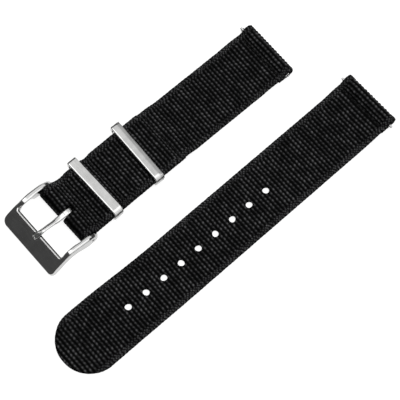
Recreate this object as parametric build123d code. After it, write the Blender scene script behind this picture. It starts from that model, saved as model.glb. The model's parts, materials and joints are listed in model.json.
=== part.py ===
from build123d import *
import math
import os

os.makedirs("parts", exist_ok=True)

# Two-piece woven strap for a watch with 20 mm lugs, laid flat as a pair.
# Millimetres. +Z is up, the straps lie on z = 0 and run along X, lug ends
# towards +X. The long strap is on the -Y side, the buckle strap on +Y.

# ---------------------------------------------------------------- dimensions
STRAP_W = 20.0        # width of the webbing
WEB_T = 1.0           # thickness of one layer of webbing
LONG_LEN = 125.2      # long strap, loop end to tip
HOLE_R = 1.0          # melted adjuster holes
HOLE_PITCH = 6.863
HOLE_COUNT = 9
FIRST_HOLE = 45.36    # from the loop end of the long strap to its first hole
LONG_END_X = 62.6     # loop end of the long strap
LONG_Y = -17.98      # centre line of the long strap
SHORT_END_X = 50.7    # loop end of the buckle strap
SHORT_X = 0.8         # station 0 of the buckle strap
SHORT_Y = 16.25      # centre line of the buckle strap at the buckle
DRIFT = (-0.25, -0.45, -0.65)   # its three outer lengths lie a little towards the long strap
FLEX_GAP = 0.6        # slit between two lengths of webbing at a bend line
LONG_BENDS = [16.0, 32.0, 48.79, 69.38, 89.97, 107.0]   # from the loop end
SHORT_BENDS = [12.0, 24.0, 36.0]                         # stations

# loop for the spring bar at the lug end of each strap
LOOP_R = 1.85         # outer radius of the fold
LOOP_TOP_END = 3.2    # where the upper layer starts to come down
LOOP_SEAM = 4.8       # where the two layers meet
LOOP_FLAP = 6.1       # end of the turned-in flap
LUG_BAR_U = 3.0       # spring bar axis from the loop end
LUG_BAR_R = 0.75
LUG_BAR_BORE = 0.62
LUG_BAR_HALF = 8.9    # half length of the tube
PLUNGER_R = 0.58
FLANGE_R = 0.7
FLANGE_IN = 10.1
FLANGE_OUT = 10.4
PIN_R = 0.4
PIN_END = 11.1
TIP_TRAVEL = 1.1

# fold round the buckle bar
AXIS_L = -33.0        # buckle bar axis, station on the buckle strap
AXIS_Z = 2.0
FOLD_L = -33.9        # centre of the fold's bend, in front of the bar
FOLD_TOP_L = -32.4    # where the upper layer starts to come down
FOLD_R = 2.0
FOLD_BORE = 1.0
SLOT_HALF = 1.3       # slot in the fold for the tongue
SLOT_BACK = 2.3       # slot end behind the axis
FLAP_END = 5.7        # end of the turned-under flap
SEWN = [(-28.2, -26.8), (-18.4, -17.4), (3.4, 5.7)]     # where both layers are sewn together
POCKET_Z = 0.8        # height of the pocket that traps a keeper

# keepers
KEEPER_L = 3.25       # along the strap
KEEPER_OUT = 22.9
KEEPER_IN = 20.7
KEEPER_Z = (1.08, 1.72, 3.95, 4.60)   # bottom bar low, bottom bar high, top bar low, top bar high
KEEPER_1 = -22.0      # centre stations
KEEPER_2 = -5.15
KEEPER_2_TURN = -1.5  # degrees, this one lies slightly askew

# buckle
BUCKLE_FRONT = -49.4
CREASE = -42.0        # top of the sloping plane of the front bar
BAR_BACK = -43.9      # inner edge of the front bar
BUCKLE_HALF = 12.7    # half width at its widest, one millimetre below the ground plane
BUCKLE_DRAFT = 12.0   # degrees its outer sides lean in
BUCKLE_EDGE = 0.2     # radius of its soft edges
WINDOW_W = 20.7
BUCKLE_BAR_R = 0.95
BUCKLE_BAR_BORE = 0.65
BUCKLE_BAR_HALF = 8.8
BUCKLE_PLUNGER_R = 0.6
BUCKLE_FLANGE_R = 0.85
BUCKLE_FLANGE = (9.95, 10.25)
BUCKLE_PIN_R = 0.5
BUCKLE_PIN_HOLE = 0.56
BUCKLE_PIN_END = 11.4
TONGUE_W = 1.85
TONGUE_RING_R = 1.5
TONGUE_TIP = -46.0
NOTCH_W = 2.5


# ------------------------------------------------------------------- helpers
def smooth(t):
    t = min(max(t, 0.0), 1.0)
    return t * t * (3 - 2 * t)


def wire(path, y):
    """A closed wire in the plane y from a list of (x, z) points. A triple ("arc", through, to) makes an arc."""
    first = path[0]
    edges, here = [], first
    for step in path[1:] + [first]:
        if step[0] == "arc":
            a, b = step[1], step[2]
            edges.append(Edge.make_three_point_arc((here[0], y, here[1]), (a[0], y, a[1]), (b[0], y, b[1])))
            here = b
        else:
            if math.dist(here, step) < 1e-6:
                continue
            edges.append(Edge.make_line((here[0], y, here[1]), (step[0], y, step[1])))
            here = step
    return Wire(edges)


def prism(outer, y0, y1, holes=()):
    """A solid of constant section in XZ between two planes across the strap."""
    face = Face(wire(outer, y0), [wire(h, y0) for h in holes])
    return extrude(face, amount=y1 - y0, dir=(0, 1, 0))


def rod(x, z, r, y0, y1):
    return Solid.make_cylinder(r, abs(y1 - y0), Plane(origin=(x, min(y0, y1), z), z_dir=(0, 1, 0)))


def slab(x0, x1, y, z0=0.0, z1=WEB_T):
    return Pos((x0 + x1) / 2, y, (z0 + z1) / 2) * Box(abs(x1 - x0), STRAP_W, z1 - z0)


def save(name, shape):
    shape.label = name
    export_step(shape, "parts/%s.step" % name)


def ramp(u0, z0, u1, z1, n=8):
    """Points of a smooth slope from (u0, z0) to (u1, z1), ends included."""
    return [(u0 + (u1 - u0) * i / n, z0 + (z1 - z0) * smooth(i / n)) for i in range(n + 1)]


# --------------------------------------------------------- webbing: lug loops
def lug_loop(end_x, y, cut):
    """The folded end of a strap: webbing turned under round the spring bar and sewn, with the slope down to the flat strap. cut is where this length ends, from the loop end."""
    t, top = WEB_T, 2 * LOOP_R
    rise = ramp(LOOP_SEAM, 2 * t, LOOP_TOP_END, top)
    down = ramp(LOOP_FLAP, 2 * t, min(13.5, cut - 1.0), t, 10)
    outer = (
        [(LOOP_R, 0.0), (LOOP_FLAP, 0.0), (LOOP_FLAP, t)]
        + [(u, z - t) for u, z in down[1:]]
        + [(cut, 0.0), (cut, t)]
        + [p for p in reversed(down)]
        + rise
        + [(LOOP_R, top), ("arc", (0.0, LOOP_R), (LOOP_R, 0.0))]
    )
    inner_r = LOOP_R - t
    inner = (
        [(LOOP_R, t), (LOOP_SEAM, t)]
        + [(u, z - t) for u, z in rise[1:]]
        + [(LOOP_R, top - t), ("arc", (LOOP_R - inner_r, LOOP_R), (LOOP_R, t))]
    )

    def place(path):
        out = []
        for p in path:
            if p[0] == "arc":
                out.append(("arc", (end_x - p[1][0], p[1][1]), (end_x - p[2][0], p[2][1])))
            else:
                out.append((end_x - p[0], p[1]))
        return out

    return prism(place(outer), y - STRAP_W / 2, y + STRAP_W / 2, [place(inner)])


# ------------------------------------------------------ webbing: long strap
half = FLEX_GAP / 2
holes_x = [LONG_END_X - FIRST_HOLE - HOLE_PITCH * k for k in range(HOLE_COUNT)]
save("long_webbing_1_lug_loop", lug_loop(LONG_END_X, LONG_Y, LONG_BENDS[0] - half))
ends = LONG_BENDS + [LONG_LEN]
for i in range(len(LONG_BENDS)):
    x1 = LONG_END_X - ends[i] - half
    last = i == len(LONG_BENDS) - 1
    x0 = LONG_END_X - LONG_LEN if last else LONG_END_X - ends[i + 1] + half
    if last:
        # rounded tip: a half disc as wide as the webbing
        centre = x0 + STRAP_W / 2
        disc = Pos(centre, LONG_Y, WEB_T / 2) * Cylinder(STRAP_W / 2, WEB_T)
        piece = slab(centre, x1, LONG_Y) + (disc & slab(x0 - 1, centre, LONG_Y))
    else:
        piece = slab(x0, x1, LONG_Y)
    for hx in holes_x:
        if x0 < hx < x1:
            piece -= Pos(hx, LONG_Y, WEB_T / 2) * Cylinder(HOLE_R, WEB_T * 3)
    names = ["2", "3", "4", "5", "6", "7_tip"]
    save("long_webbing_%s" % names[i], piece)

# ---------------------------------------------------- webbing: buckle strap
save("short_webbing_1_lug_loop", lug_loop(SHORT_END_X, SHORT_Y + DRIFT[2], SHORT_END_X - (SHORT_X + SHORT_BENDS[2]) - half))
save("short_webbing_2", slab(SHORT_X + SHORT_BENDS[1] + half, SHORT_X + SHORT_BENDS[2] - half, SHORT_Y + DRIFT[1]))
save("short_webbing_3", slab(SHORT_X + SHORT_BENDS[0] + half, SHORT_X + SHORT_BENDS[1] - half, SHORT_Y + DRIFT[0]))

t = WEB_T
fold_rise = ramp(SEWN[0][0], 2 * t, FOLD_TOP_L, AXIS_Z + FOLD_R, 10)
slope = ramp(FLAP_END, 2 * t, SHORT_BENDS[0] - 0.8, t, 8)
hi = 2 * t + POCKET_Z
base_top = []
for (a0, a1), (b0, b1) in zip(SEWN[:-1], SEWN[1:]):
    base_top.append([(a1, 2 * t), (a1 + 1.2, hi), (b0 - 1.0, hi), (b0, 2 * t)])
outer = (
    [(FOLD_L, 0.0), (FLAP_END, 0.0), (FLAP_END, t)]
    + [(x, z - t) for x, z in slope[1:]]
    + [(SHORT_BENDS[0] - half, 0.0), (SHORT_BENDS[0] - half, t)]
    + [p for p in reversed(slope)]
    + [p for p in reversed(base_top[1])]
    + [p for p in reversed(base_top[0])]
    + fold_rise
    + [(FOLD_L, AXIS_Z + FOLD_R), ("arc", (FOLD_L - FOLD_R, AXIS_Z), (FOLD_L, 0.0))]
)
pockets = [[(x, z - t) for x, z in run] for run in base_top]
bore = (
    [(FOLD_L, AXIS_Z - FOLD_BORE), (SEWN[0][0], t)]
    + [(x, z - t) for x, z in fold_rise[1:]]
    + [(FOLD_L, AXIS_Z + FOLD_BORE), ("arc", (FOLD_L - FOLD_BORE, AXIS_Z), (FOLD_L, AXIS_Z - FOLD_BORE))]
)


def shift(path):
    out = []
    for p in path:
        if p[0] == "arc":
            out.append(("arc", (p[1][0] + SHORT_X, p[1][1]), (p[2][0] + SHORT_X, p[2][1])))
        else:
            out.append((p[0] + SHORT_X, p[1]))
    return out


base = prism(shift(outer), SHORT_Y - STRAP_W / 2, SHORT_Y + STRAP_W / 2, [shift(pockets[0]), shift(pockets[1]), shift(bore)])
slot_x0, slot_x1 = AXIS_L - 4.0, AXIS_L + SLOT_BACK
base -= Pos(SHORT_X + (slot_x0 + slot_x1) / 2, SHORT_Y, 2.0) * Box(slot_x1 - slot_x0, 2 * SLOT_HALF, 8.0)
save("short_webbing_4_buckle_fold", base)


# ------------------------------------------------------------- stitched seams
def seam(name, x, y, z, count=8, pitch=2.05, length=1.55, r=0.26):
    """A row of thread runs across the strap, each a flattened half-round lying on the webbing."""
    runs = []
    for i in range(count):
        yc = y + (i - (count - 1) / 2) * pitch
        path = [(x - r, z), (x + r, z), ("arc", (x, z + r), (x - r, z))]
        runs.append(prism(path, yc - length / 2, yc + length / 2))
    save(name, Compound(children=[s for r_ in runs for s in r_.solids()]))


seam("long_lug_seam_thread", LONG_END_X - 5.4, LONG_Y, 2 * t)
seam("short_lug_seam_thread", SHORT_END_X - 5.4, SHORT_Y + DRIFT[2], 2 * t)
seam("buckle_seam_thread", SHORT_X + (SEWN[0][0] + SEWN[0][1]) / 2, SHORT_Y, 2 * t)
seam("keeper_seam_thread_1", SHORT_X + (SEWN[1][0] + SEWN[1][1]) / 2, SHORT_Y, 2 * t)
seam("keeper_seam_thread_2", SHORT_X + 4.2, SHORT_Y, 2 * t)


# -------------------------------------------------------------------- keepers
def keeper(name, station, turn):
    z0, z1, z2, z3 = KEEPER_Z
    ring = Pos(0, 0, (z0 + z3) / 2) * Box(KEEPER_L, KEEPER_OUT, z3 - z0)
    ring = fillet(ring.edges().filter_by(Axis.X).group_by(Axis.Z)[-1], 1.6)
    ring = fillet(ring.edges().filter_by(Axis.X).group_by(Axis.Z)[0], 1.2)
    ring = chamfer(ring.faces().filter_by(Axis.X).edges(), 0.12)
    gap = Pos(0, 0, (z1 + z2) / 2) * Box(KEEPER_L * 2, KEEPER_IN, z2 - z1)
    gap = fillet(gap.edges().filter_by(Axis.X), 0.2)
    save(name, Pos(SHORT_X + station, SHORT_Y, 0) * Rot(0, 0, turn) * (ring - gap))


keeper("keeper_1", KEEPER_1, 0)
keeper("keeper_2", KEEPER_2, KEEPER_2_TURN)


# --------------------------------------------------------------- buckle frame
def spline_prism(profile_edges, y0, y1):
    face = Face(Wire(profile_edges))
    return extrude(face, amount=y1 - y0, dir=(0, 1, 0))


ax, az = SHORT_X + AXIS_L, AXIS_Z
fx = SHORT_X + BUCKLE_FRONT
cx = SHORT_X + CREASE
y_lo = SHORT_Y - 20.0
P = lambda x, z: (x, y_lo, z)
# side view: an arched plate, a flat plane sloping down to the front edge and a round knob about the bar
plane_slope = 2.53 / 7.4
plane_z = lambda x: 1.5 + plane_slope * (x - fx)
top_pts = [P(ax, az + 2.05), P(ax - 2.8, 4.33), P(ax - 5.8, 4.42), P(cx + 1.0, 4.3)]
low_pts = [P(fx + 0.5, 0.15), P(fx + 3.4, 0.5), P(fx + 6.1, 1.5), P(fx + 8.1, 1.85), P(fx + 10.3, 1.75), P(fx + 12.3, 1.05), P(fx + 14.3, 0.25), P(ax, az - 1.97)]
side = [
    Edge.make_three_point_arc(P(ax, az - 1.97), P(ax + 2.25, az + 0.05), P(ax, az + 2.05)),
    Edge.make_spline([Vector(*p) for p in top_pts], tangents=[Vector(-1, 0, 0.02), Vector(-1, 0, -0.2)]),
    Edge.make_spline([Vector(*top_pts[-1]), Vector(*P(cx, plane_z(cx)))], tangents=[Vector(-1, 0, -0.2), Vector(-1, 0, -plane_slope)]),
    Edge.make_line(P(cx, plane_z(cx)), P(fx, 1.5)),
    Edge.make_line(P(fx, 1.5), P(fx, 0.75)),
    Edge.make_three_point_arc(P(fx, 0.75), P(fx + 0.13, 0.36), low_pts[0]),
    Edge.make_spline([Vector(*p) for p in low_pts], tangents=[Vector(1, 0, 0.03), Vector(1, 0, 0)]),
]
body = spline_prism(side, y_lo, SHORT_Y + 20.0)

# plan outline; the outer sides lean in from one millimetre below the ground plane
lean = math.tan(math.radians(BUCKLE_DRAFT))


def plan_outline(z):
    d = lean * (z + 1.0)
    h = BUCKLE_HALF - d
    hf = h - 0.42
    corner = 1.5 - 0.1 * (z + 1.0)
    ox = fx - 2.5 * lean + d
    back_x = ax + 2.9 - d
    sq = corner * (1 - math.sqrt(0.5))
    side_pts = [(ox + corner, hf), (fx + 4.1, h - 0.16), (fx + 8.1, h), (ax - 3.8, h), (ax - 0.6, h - 0.24)]
    up = [Vector(x, SHORT_Y + o, z) for x, o in side_pts]
    dn = [Vector(x, SHORT_Y - o, z) for x, o in side_pts]
    V = lambda x, o: Vector(x, SHORT_Y + o, z)
    return Wire([
        Edge.make_line(V(ox, corner - hf), V(ox, hf - corner)),
        Edge.make_three_point_arc(V(ox, hf - corner), V(ox + sq, hf - sq), up[0]),
        Edge.make_spline(up, tangents=[Vector(1, 0.06, 0), Vector(1, -0.18, 0)]),
        Edge.make_three_point_arc(up[-1], V(back_x - 0.75, h - 0.74), V(back_x, h - 1.75)),
        Edge.make_line(V(back_x, h - 1.75), V(back_x, 1.75 - h)),
        Edge.make_three_point_arc(V(back_x, 1.75 - h), V(back_x - 0.75, 0.74 - h), dn[-1]),
        Edge.make_spline(list(reversed(dn)), tangents=[Vector(-1, -0.18, 0), Vector(-1, 0.06, 0)]),
        Edge.make_three_point_arc(dn[0], V(ox + sq, sq - hf), V(ox, corner - hf)),
    ])


body = body & Solid.make_loft([plan_outline(-1.0), plan_outline(6.0)], True)

# window: open behind the bar axis, small radii at its front corners
bx = SHORT_X + BAR_BACK
win = Pos((bx + ax + 6) / 2, SHORT_Y, 2.0) * Box(ax + 6 - bx, WINDOW_W, 10)
win = fillet(win.edges().filter_by(Axis.Z).group_by(Axis.X)[0], 0.7)
body -= win
# soft upper edges, outside and round the window
upper = lambda x: plane_z(x) if x < cx + 1.0 else 4.3
across = lambda e: abs((e @ 0).Y - (e @ 1).Y)
high = [e for e in body.edges() if e.length > 0.3 and e.center().Z > upper(e.center().X) - 0.35]
body = fillet([e for e in high if across(e) < 0.8 or e.center().X < cx - 0.8], BUCKLE_EDGE)
# rest for the tongue's tip in the front bar, its floor sloping like the bar
rest = [(bx + 1.0, 3.02), (bx, 2.74), (fx + 2.8, 2.14), (fx + 2.6, 4.6), (bx + 1.0, 5.2)]
nx = fx + 3.0 + NOTCH_W / 2
rest_plan = Pos((nx + bx + 2) / 2, SHORT_Y, 4) * Box(bx + 2 - nx, NOTCH_W, 8) + Pos(nx, SHORT_Y, 4) * Cylinder(NOTCH_W / 2, 8)
body -= prism(rest, SHORT_Y - NOTCH_W, SHORT_Y + NOTCH_W) & rest_plan
# holes for the bar's tips
body -= rod(ax, az, BUCKLE_PIN_HOLE, SHORT_Y - 15, SHORT_Y + 15)
save("buckle_frame", body)

# --------------------------------------------------------------- buckle tongue
tx = SHORT_X + TONGUE_TIP
hw = TONGUE_W / 2
yt = SHORT_Y - hw
Q = lambda x, z: Vector(x, yt, z)
top_line = [Q(ax, az + TONGUE_RING_R), Q(ax - 2.4, 3.72), Q(ax - 5.8, 4.2), Q(ax - 9.0, 4.14), Q(ax - 10.8, 3.74), Q(tx + 0.3, 3.0)]
low_line = [Q(tx + 0.05, 2.42), Q(ax - 10.8, 2.86), Q(ax - 8.8, 3.14), Q(ax - 5.8, 3.06), Q(ax - 2.9, 2.5), Q(ax - 1.0, az - 0.75)]
ring_ang = math.atan2(-0.75, -1.0)
low_line[-1] = Q(ax + TONGUE_RING_R * math.cos(ring_ang), az + TONGUE_RING_R * math.sin(ring_ang))
tongue_edges = [
    Edge.make_spline(top_line, tangents=[Vector(-1, 0, 0.05), Vector(-1, 0, -0.42)]),
    Edge.make_three_point_arc(top_line[-1], Q(tx, 2.72), low_line[0]),
    Edge.make_spline(low_line),
    Edge.make_three_point_arc(low_line[-1], Q(ax + TONGUE_RING_R * math.cos(-0.9), az + TONGUE_RING_R * math.sin(-0.9)), top_line[0]),
]
tongue = spline_prism(tongue_edges, yt, yt + TONGUE_W)
tongue -= rod(ax, az, BUCKLE_BAR_R + 0.05, yt - 1, yt + TONGUE_W + 1)
save("buckle_tongue", tongue)


# ----------------------------------------------------------------- spring bars
def spring_bar(prefix, x, y, z, r, bore, half_len, plunger, flange_r, flange, pin_r, pin_end):
    tube = rod(x, z, r, y - half_len, y + half_len) - rod(x, z, bore, y - half_len - 1, y + half_len + 1)
    save(prefix + "_tube", tube)
    inner = half_len - 2.4
    for side_name, s in (("a", 1), ("b", -1)):
        tip = rod(x, z, plunger, y + s * inner, y + s * flange[0])
        tip = tip + rod(x, z, flange_r, y + s * flange[0], y + s * flange[1])
        tip = tip + rod(x, z, pin_r, y + s * flange[1], y + s * pin_end)
        ends_ = tip.faces().filter_by(Axis.Y).sort_by(Axis.Y)
        far = ends_[-1] if s > 0 else ends_[0]
        tip = chamfer(far.edges(), 0.12)
        save("%s_tip_%s" % (prefix, side_name), tip)
    # coil spring, kept as a sleeve of the coil's outer and inner size
    coil = rod(x, z, bore - 0.04, y - inner + 0.1, y + inner - 0.1) - rod(x, z, bore - 0.22, y - inner, y + inner)
    save(prefix + "_spring", coil)


spring_bar("long_lug_bar", LONG_END_X - LUG_BAR_U, LONG_Y, LOOP_R, LUG_BAR_R, LUG_BAR_BORE, LUG_BAR_HALF,
           PLUNGER_R, FLANGE_R, (FLANGE_IN, FLANGE_OUT), PIN_R, PIN_END)
spring_bar("short_lug_bar", SHORT_END_X - LUG_BAR_U, SHORT_Y + DRIFT[2], LOOP_R, LUG_BAR_R, LUG_BAR_BORE, LUG_BAR_HALF,
           PLUNGER_R, FLANGE_R, (FLANGE_IN, FLANGE_OUT), PIN_R, PIN_END)
spring_bar("buckle_bar", ax, SHORT_Y, az, BUCKLE_BAR_R, BUCKLE_BAR_BORE, BUCKLE_BAR_HALF,
           BUCKLE_PLUNGER_R, BUCKLE_FLANGE_R, BUCKLE_FLANGE, BUCKLE_PIN_R, BUCKLE_PIN_END)

print("holes at x =", [round(v, 3) for v in holes_x])
bb = body.bounding_box()
print("buckle box", [round(v, 3) for v in (bb.min.X, bb.max.X, bb.min.Y, bb.max.Y, bb.min.Z, bb.max.Z)])
print("buckle axis", round(ax, 3), SHORT_Y, az)
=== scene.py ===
import json
import math

import bpy
import numpy as np
from mathutils import Matrix, Vector


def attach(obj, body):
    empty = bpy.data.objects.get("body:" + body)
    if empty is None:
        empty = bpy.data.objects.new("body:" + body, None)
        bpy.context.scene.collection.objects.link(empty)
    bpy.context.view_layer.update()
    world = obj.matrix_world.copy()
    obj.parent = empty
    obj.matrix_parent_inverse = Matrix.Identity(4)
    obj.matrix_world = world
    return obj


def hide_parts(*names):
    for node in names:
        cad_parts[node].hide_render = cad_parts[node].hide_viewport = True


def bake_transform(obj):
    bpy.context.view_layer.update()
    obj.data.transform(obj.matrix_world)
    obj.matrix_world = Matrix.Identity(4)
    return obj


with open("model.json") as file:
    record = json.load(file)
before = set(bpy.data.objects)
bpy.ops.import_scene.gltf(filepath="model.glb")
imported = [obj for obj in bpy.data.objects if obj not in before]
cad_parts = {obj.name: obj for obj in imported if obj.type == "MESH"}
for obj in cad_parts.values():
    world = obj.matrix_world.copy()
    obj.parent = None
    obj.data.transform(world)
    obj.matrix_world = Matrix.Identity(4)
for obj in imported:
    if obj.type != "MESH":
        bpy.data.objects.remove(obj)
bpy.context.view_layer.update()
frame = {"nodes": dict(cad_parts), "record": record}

MM = 0.001

# ------------------------------------------------------------------ dimensions (mm), as in the CAD model
LONG_END, LONG_Y, LONG_LEN = 62.6, -17.98, 125.2
SHORT_END, SHORT_X, SHORT_Y = 50.7, 0.8, 16.25
HALF_W = 10.0
T = 0.5                                  # half thickness of the webbing
RIB = 1.269                              # pitch of the ribs along the strap
YARN = 0.625                             # pitch of the warp yarns across it
DS = RIB / 8
NW = 128                                 # cells across


def L(v):
    """Station on the short strap to x."""
    return v + SHORT_X


# ------------------------------------------------------------------ small helpers
def smooth(t):
    t = np.clip(t, 0.0, 1.0)
    return t * t * (3 - 2 * t)


def value_noise(x, y, seed, cell):
    """Smooth random field over the plane, about -1 to 1, one value per cell."""
    table = np.random.default_rng(seed).uniform(-1, 1, (257, 257))
    gx, gy = np.asarray(x, float) / cell + 91.7, np.asarray(y, float) / cell + 47.3
    ix, iy = np.floor(gx).astype(int), np.floor(gy).astype(int)
    fx, fy = gx - ix, gy - iy
    fx, fy = fx * fx * (3 - 2 * fx), fy * fy * (3 - 2 * fy)
    a = table[ix % 257, iy % 257]
    b = table[(ix + 1) % 257, iy % 257]
    c = table[ix % 257, (iy + 1) % 257]
    d = table[(ix + 1) % 257, (iy + 1) % 257]
    return (a * (1 - fx) + b * fx) * (1 - fy) + (c * (1 - fx) + d * fx) * fy


def mesh_object(name, verts, quads, tris=None, uv=None, attrs=None, sharp=None):
    """A smooth mesh from numpy arrays in metres: quads (n, 4), tris (m, 3), uv per vertex, sharp edges as pairs of vertices."""
    verts = np.asarray(verts, np.float32)
    quads = np.asarray(quads, np.int32).reshape(-1, 4)
    tris = np.zeros((0, 3), np.int32) if tris is None else np.asarray(tris, np.int32).reshape(-1, 3)
    n, nq, nt_ = len(verts), len(quads), len(tris)
    loops = np.r_[quads.ravel(), tris.ravel()].astype(np.int32)
    starts = np.r_[np.arange(nq) * 4, nq * 4 + np.arange(nt_) * 3].astype(np.int32)
    mesh = bpy.data.meshes.new(name)
    mesh.vertices.add(n)
    mesh.vertices.foreach_set("co", verts.ravel())
    mesh.loops.add(len(loops))
    mesh.loops.foreach_set("vertex_index", loops)
    mesh.polygons.add(nq + nt_)
    mesh.polygons.foreach_set("loop_start", starts)
    mesh.update(calc_edges=True)
    mesh.polygons.foreach_set("use_smooth", np.ones(nq + nt_, bool))
    if uv is not None:
        layer = mesh.uv_layers.new(name="UVMap")
        layer.data.foreach_set("uv", np.asarray(uv, np.float32)[loops].ravel())
    for key, values in (attrs or {}).items():
        a = mesh.attributes.new(key, "FLOAT", "POINT")
        a.data.foreach_set("value", np.asarray(values, np.float32))
    if sharp is not None and len(sharp):
        ed = np.zeros(len(mesh.edges) * 2, np.int32)
        mesh.edges.foreach_get("vertices", ed)
        ed = np.sort(ed.reshape(-1, 2), axis=1)
        keys = ed[:, 0].astype(np.int64) * n + ed[:, 1]
        sh = np.sort(np.asarray(sharp, np.int64), axis=1)
        a = mesh.attributes.new("sharp_edge", "BOOLEAN", "EDGE")
        a.data.foreach_set("value", np.isin(keys, sh[:, 0] * n + sh[:, 1]))
    mesh.update()
    obj = bpy.data.objects.new(name, mesh)
    bpy.context.scene.collection.objects.link(obj)
    return obj


# ------------------------------------------------------------------ materials
def material(name):
    mat = bpy.data.materials.new(name)
    mat.use_nodes = True
    nt = mat.node_tree
    nt.nodes.clear()
    out = nt.nodes.new("ShaderNodeOutputMaterial")
    bsdf = nt.nodes.new("ShaderNodeBsdfPrincipled")
    nt.links.new(bsdf.outputs["BSDF"], out.inputs["Surface"])
    return mat, nt, bsdf


def node(nt, kind, **values):
    n = nt.nodes.new(kind)
    for k, v in values.items():
        if k in n.inputs:
            n.inputs[k].default_value = v
        else:
            setattr(n, k, v)
    return n


def ramp(nt, source, stops):
    r = nt.nodes.new("ShaderNodeValToRGB")
    while len(r.color_ramp.elements) < len(stops):
        r.color_ramp.elements.new(0.5)
    for e, (pos, val) in zip(r.color_ramp.elements, stops):
        e.position = pos
        e.color = (val, val, val, 1) if np.isscalar(val) else (*val, 1)
    nt.links.new(source, r.inputs["Fac"])
    return r


def nylon():
    """Black nylon webbing. The UV map is in millimetres along and across the strap, so the grain stays with the cloth."""
    mat, nt, b = material("black_nylon_weave")
    uv = node(nt, "ShaderNodeUVMap", uv_map="UVMap")
    painted_crest_light = node(nt, "ShaderNodeAttribute", attribute_name="painted_crest_light")
    melt = node(nt, "ShaderNodeAttribute", attribute_name="melt")
    # filaments run with the warp: long thin streaks
    stretch = node(nt, "ShaderNodeMapping")
    stretch.inputs["Scale"].default_value = (2.2, 15.0, 1.0)
    nt.links.new(uv.outputs["UV"], stretch.inputs["Vector"])
    fil = node(nt, "ShaderNodeTexNoise", Scale=1.0, Detail=3.0, Roughness=0.6)
    nt.links.new(stretch.outputs["Vector"], fil.inputs["Vector"])
    patch = node(nt, "ShaderNodeTexNoise", Scale=0.35, Detail=2.0, Roughness=0.5)
    nt.links.new(uv.outputs["UV"], patch.inputs["Vector"])
    # colour: black, with painted highlight, a little grey, on the yarn crests and painted shade in the grooves, driven
    # by the painted crest light attribute
    mix = node(nt, "ShaderNodeMix", data_type="RGBA")
    mix.inputs[6].default_value = (0.0005, 0.0005, 0.00055, 1)
    mix.inputs[7].default_value = (0.135, 0.135, 0.139, 1)
    nt.links.new(painted_crest_light.outputs["Fac"], mix.inputs[0])
    mix2 = node(nt, "ShaderNodeMix", data_type="RGBA", blend_type="MULTIPLY")
    mix2.inputs[0].default_value = 0.55
    nt.links.new(mix.outputs[2], mix2.inputs[6])
    grain = ramp(nt, fil.outputs["Fac"], [(0.3, 0.45), (0.7, 1.0)])
    nt.links.new(grain.outputs["Color"], mix2.inputs[7])
    nt.links.new(mix2.outputs[2], b.inputs["Base Color"])
    rough = node(nt, "ShaderNodeMapRange")
    rough.inputs["From Min"].default_value = 0.3
    rough.inputs["From Max"].default_value = 0.7
    rough.inputs["To Min"].default_value = 0.40
    rough.inputs["To Max"].default_value = 0.58
    nt.links.new(patch.outputs["Fac"], rough.inputs["Value"])
    gloss = node(nt, "ShaderNodeMath", operation="MULTIPLY_ADD")
    nt.links.new(melt.outputs["Fac"], gloss.inputs[0])
    gloss.inputs[1].default_value = -0.12
    nt.links.new(rough.outputs["Result"], gloss.inputs[2])
    nt.links.new(gloss.outputs["Value"], b.inputs["Roughness"])
    b.inputs["Specular IOR Level"].default_value = 0.015
    b.inputs["Sheen Weight"].default_value = 0.0
    b.inputs["Sheen Roughness"].default_value = 0.4
    bump = node(nt, "ShaderNodeBump", Strength=0.35, Distance=0.00003)
    nt.links.new(fil.outputs["Fac"], bump.inputs["Height"])
    nt.links.new(bump.outputs["Normal"], b.inputs["Normal"])
    return mat


def thread_material():
    mat, nt, b = material("black_thread")
    uv = node(nt, "ShaderNodeUVMap", uv_map="UVMap")
    n = node(nt, "ShaderNodeTexNoise", Scale=9.0, Detail=2.0)
    nt.links.new(uv.outputs["UV"], n.inputs["Vector"])
    r = ramp(nt, n.outputs["Fac"], [(0.35, 0.001), (0.75, 0.016)])
    nt.links.new(r.outputs["Color"], b.inputs["Base Color"])
    rr = node(nt, "ShaderNodeMapRange")
    rr.inputs["To Min"].default_value = 0.36
    rr.inputs["To Max"].default_value = 0.55
    nt.links.new(n.outputs["Fac"], rr.inputs["Value"])
    nt.links.new(rr.outputs["Result"], b.inputs["Roughness"])
    b.inputs["Specular IOR Level"].default_value = 0.1
    bump = node(nt, "ShaderNodeBump", Strength=0.3, Distance=0.00002)
    nt.links.new(n.outputs["Fac"], bump.inputs["Height"])
    nt.links.new(bump.outputs["Normal"], b.inputs["Normal"])
    return mat


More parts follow.
